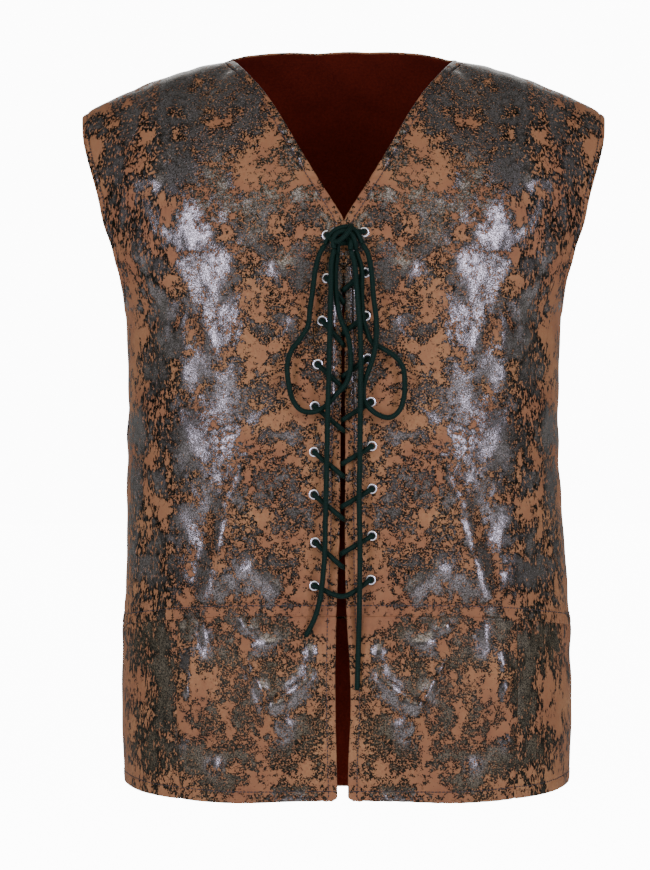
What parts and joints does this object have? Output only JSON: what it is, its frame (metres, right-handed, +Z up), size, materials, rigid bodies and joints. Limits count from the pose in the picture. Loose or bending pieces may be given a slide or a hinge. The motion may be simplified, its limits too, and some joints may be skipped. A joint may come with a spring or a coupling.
{
  "type": "laced vest",
  "caption": "Sleeveless hip-length costume vest in worn, blotched leather, V-neck, laced down the front through metal eyelets, with a waist seam and a short skirt band.",
  "frame": {"origin": "midway between the two high points of the shoulder seams, where the wearer's shoulders carry the vest", "axes": "+Z up, the laced front faces -Y, +X is the wearer's left"},
  "size_m": [0.49, 0.2679, 0.7031],
  "materials": {
    "leather": "matt brown leather cloth with a crackled glossy black coat, plain dark red-brown inside",
    "eyelet_metal": "bright nickel-plated pressed eyelets",
    "lace": "black round braided lace with a slight green cast"
  },
  "bodies": {
    "root": {"front_right": "leather", "front_left": "leather", "back": "leather", "skirt_front_right": "leather", "skirt_front_left": "leather", "skirt_back": "leather", "eyelet_right_1": "eyelet_metal", "eyelet_right_2": "eyelet_metal", "eyelet_right_3": "eyelet_metal", "eyelet_right_4": "eyelet_metal", "eyelet_right_5": "eyelet_metal", "eyelet_right_6": "eyelet_metal", "eyelet_right_7": "eyelet_metal", "eyelet_right_8": "eyelet_metal", "eyelet_right_9": "eyelet_metal", "eyelet_left_1": "eyelet_metal", "eyelet_left_2": "eyelet_metal", "eyelet_left_3": "eyelet_metal", "eyelet_left_4": "eyelet_metal", "eyelet_left_5": "eyelet_metal", "eyelet_left_6": "eyelet_metal", "eyelet_left_7": "eyelet_metal", "eyelet_left_8": "eyelet_metal", "eyelet_left_9": "eyelet_metal", "lacing": "lace", "lace_knot": "lace", "lace_loop_right": "lace", "lace_loop_left": "lace", "lace_end_right": "lace", "lace_end_left": "lace"}
  },
  "joints": []
}
